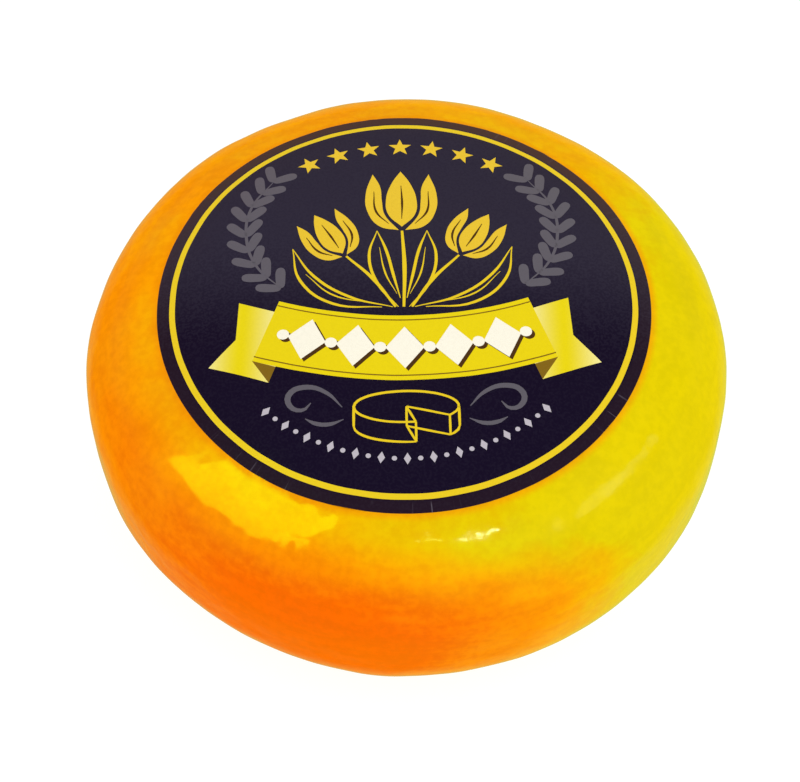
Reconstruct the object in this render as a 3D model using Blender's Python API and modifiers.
"""A whole wheel of gouda with a round label on its top face.

Metres, +Z up. The origin is the middle of the flat base, and the wheel's axis is Z.
The rind is one turned solid. Its outline is a chain of tangent arcs, and each arc is
given by its radius and by the elevation of the surface's normal where it ends. The
label is a thin sheet that follows the domed top, a small gap above the rind.
"""

import math

import bpy

# Driving dimensions
DIAMETER = 0.246
RADIUS = DIAMETER / 2

# The rind's arcs, from the widest plane upwards and, mirrored, downwards
FLANK_RADIUS = 1.43 * RADIUS
FLANK_END = math.radians(3.2)
SIDE_RADIUS = 0.302 * RADIUS
SIDE_END = math.radians(67.9)
SHOULDER_RADIUS = 0.779 * RADIUS
SHOULDER_END = math.radians(87.3)
UPRIGHT = math.radians(90.0)

# The label's size, and how far it sits off the wheel's axis
LABEL_RADIUS = 0.738 * RADIUS
LABEL_SHIFT = (-0.0015, -0.0005)
LABEL_THICKNESS = 0.0004
LABEL_GAP = 0.0003

# Facets
WHEEL_SEGMENTS = 96
LABEL_SEGMENTS = 72
LABEL_RINGS = 12
FLANK_STEPS = 1
SIDE_STEPS = 12
SHOULDER_STEPS = 6
FACE_STEPS = 3
MERGE_DISTANCE = 0.00001

# Colours, linear RGBA
RIND_COLOUR = (0.92, 0.37, 0.004, 1.0)
LABEL_COLOUR = (0.012, 0.008, 0.022, 1.0)


def arc(start, radius, first, last, steps):
    """Points (r, z) of a convex arc after its start, as the normal rises from first to last."""
    centre = (start[0] - radius * math.cos(first), start[1] - radius * math.sin(first))
    turns = [first + (last - first) * i / steps for i in range(1, steps + 1)]
    return [
        (centre[0] + radius * math.cos(turn), centre[1] + radius * math.sin(turn))
        for turn in turns
    ]


def rounded_side():
    """Points (r, z) from the widest plane, at z = 0, up to the edge of the face."""
    points = [(RADIUS, 0.0)]
    points += arc(points[-1], FLANK_RADIUS, 0.0, FLANK_END, FLANK_STEPS)
    points += arc(points[-1], SIDE_RADIUS, FLANK_END, SIDE_END, SIDE_STEPS)
    points += arc(points[-1], SHOULDER_RADIUS, SIDE_END, SHOULDER_END, SHOULDER_STEPS)
    return points


def wheel_outline():
    """Points (r, z) from the middle of the top down the outer side to the middle of the base."""
    side = rounded_side()
    edge_radius, half_height = side[-1]
    face_radius = edge_radius / math.cos(SHOULDER_END)
    face = arc(side[-1], face_radius, SHOULDER_END, UPRIGHT, FACE_STEPS)
    face[-1] = (0.0, face[-1][1])
    top_down = face[::-1] + side[::-1]
    underside = [(r, -z) for r, z in side[1:]]
    outline = top_down + underside + [(0.0, -half_height)]
    return [(r, z + half_height) for r, z in outline]


def height_on(outline, radius):
    """Height of the wheel's upper surface at this distance from the axis."""
    for (r_inner, z_inner), (r_outer, z_outer) in zip(outline, outline[1:]):
        if r_inner <= radius <= r_outer:
            share = (radius - r_inner) / (r_outer - r_inner)
            return z_inner + share * (z_outer - z_inner)
    raise ValueError("the radius lies outside the wheel")


def label_outline():
    """Points (r, z) of a flat disc, from the middle of its top round to the middle of its base."""
    radii = [LABEL_RADIUS * i / LABEL_RINGS for i in range(LABEL_RINGS + 1)]
    top = [(r, LABEL_THICKNESS) for r in radii]
    bottom = [(r, 0.0) for r in reversed(radii)]
    return top + bottom


def material(name, colour, roughness):
    """A Principled material that isn't metallic."""
    made = bpy.data.materials.new(name)
    made.use_nodes = True
    made.diffuse_color = colour
    shader = made.node_tree.nodes["Principled BSDF"]
    shader.inputs["Base Color"].default_value = colour
    shader.inputs["Roughness"].default_value = roughness
    shader.inputs["Metallic"].default_value = 0.0
    return made


def turned(name, outline, segments, collection, finish):
    """A solid of revolution about Z from points (r, z) that run down its outer side."""
    mesh = bpy.data.meshes.new(name)
    points = [(r, 0.0, z) for r, z in outline]
    edges = [(i, i + 1) for i in range(len(points) - 1)]
    mesh.from_pydata(points, edges, [])
    mesh.materials.append(finish)
    made = bpy.data.objects.new(name, mesh)
    collection.objects.link(made)
    screw = made.modifiers.new("Turn", "SCREW")
    screw.axis = "Z"
    screw.steps = segments
    screw.render_steps = segments
    screw.use_merge_vertices = True
    screw.merge_threshold = MERGE_DISTANCE
    screw.use_smooth_shade = True
    return made


def as_mesh(made):
    """Turn the object's modifiers into its own mesh."""
    graph = bpy.context.evaluated_depsgraph_get()
    solid = bpy.data.meshes.new_from_object(made.evaluated_get(graph))
    made.modifiers.clear()
    made.data = solid


def lay_on_top(sheet, outline):
    """Raise each point of a flat sheet by the height of the wheel's top under it."""
    for vertex in sheet.data.vertices:
        point = sheet.matrix_basis @ vertex.co
        radius = math.hypot(point.x, point.y)
        vertex.co.z += height_on(outline, radius) + LABEL_GAP


def main():
    """Build the wheel and its label in a collection of their own."""
    for leftover in list(bpy.data.objects):
        bpy.data.objects.remove(leftover, do_unlink=True)
    parts = bpy.data.collections.new("gouda_wheel")
    bpy.context.scene.collection.children.link(parts)

    outline = wheel_outline()
    rind_finish = material("waxed_rind", RIND_COLOUR, 0.38)
    turned("wheel", outline, WHEEL_SEGMENTS, parts, rind_finish)

    label_finish = material("dark_label", LABEL_COLOUR, 0.45)
    label = turned("label", label_outline(), LABEL_SEGMENTS, parts, label_finish)
    label.location = (*LABEL_SHIFT, 0.0)
    as_mesh(label)
    lay_on_top(label, outline)


main()
